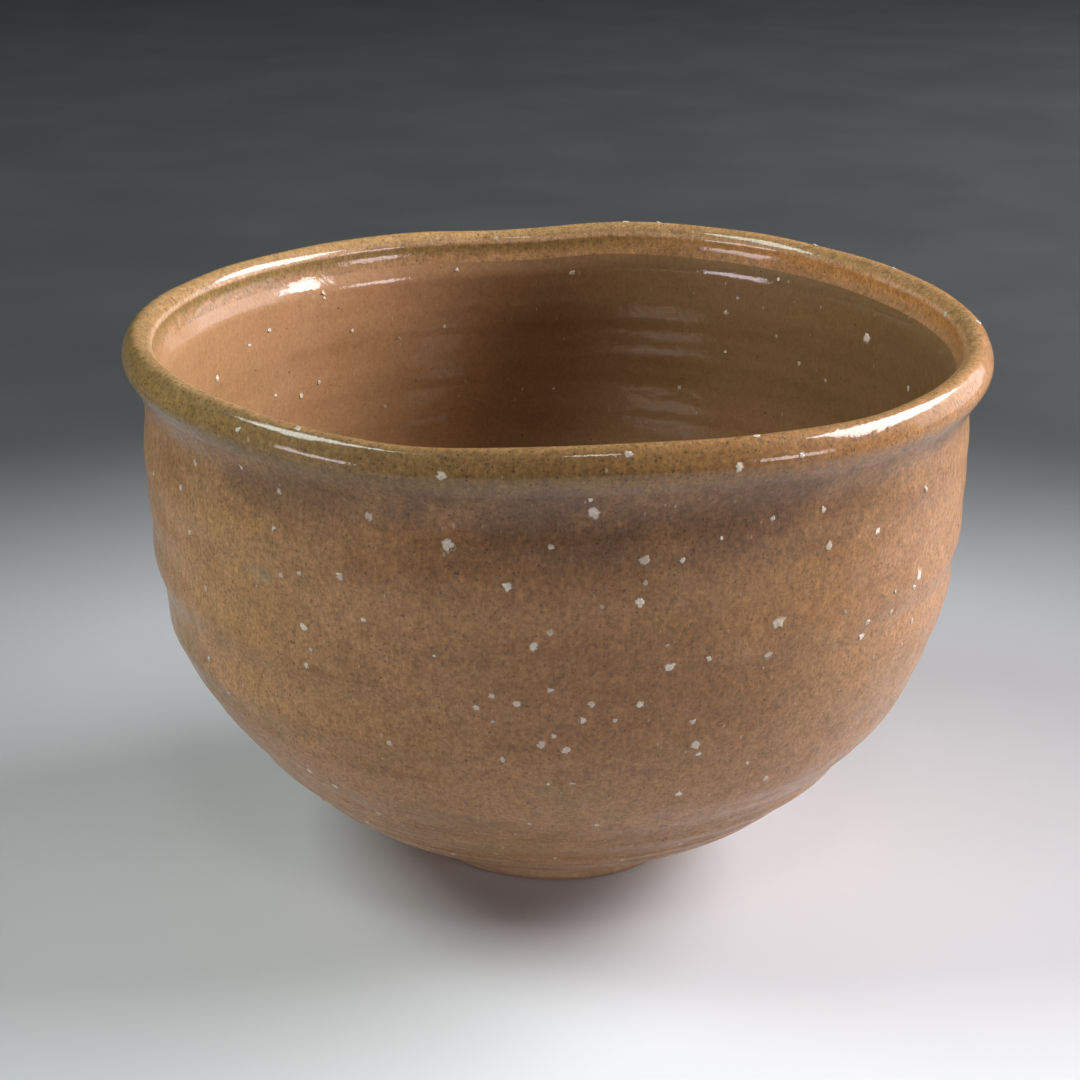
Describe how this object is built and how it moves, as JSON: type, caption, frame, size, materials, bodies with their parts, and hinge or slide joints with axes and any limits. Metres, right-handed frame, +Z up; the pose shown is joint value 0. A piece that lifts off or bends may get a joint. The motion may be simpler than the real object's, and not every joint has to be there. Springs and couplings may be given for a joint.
{
  "type": "matcha bowl",
  "caption": "Deep wheel-thrown stoneware tea bowl with a rounded, slightly flared lip, a rounded belly and a low foot ring, glazed inside and out.",
  "frame": {"origin": "centre of the foot ring's resting plane, under the middle of the bowl", "axes": "+Z up through the middle of the mouth, -Y towards the front of the bowl, +X to the right seen from the front"},
  "size_m": [0.123, 0.123, 0.0803],
  "materials": {
    "clay": "matte",
    "foot_clay": "matte",
    "glaze": "gloss",
    "inside_glaze": "gloss",
    "lip_glaze": "gloss",
    "feldspar": "satin",
    "iron": "satin"
  },
  "bodies": {
    "root": {"clay_body": "clay", "foot_ring": "foot_clay", "glaze_outside": "glaze", "glaze_inside": "inside_glaze", "lip_glaze": "lip_glaze", "feldspar_grains": "feldspar", "iron_spots": "iron"}
  },
  "joints": []
}
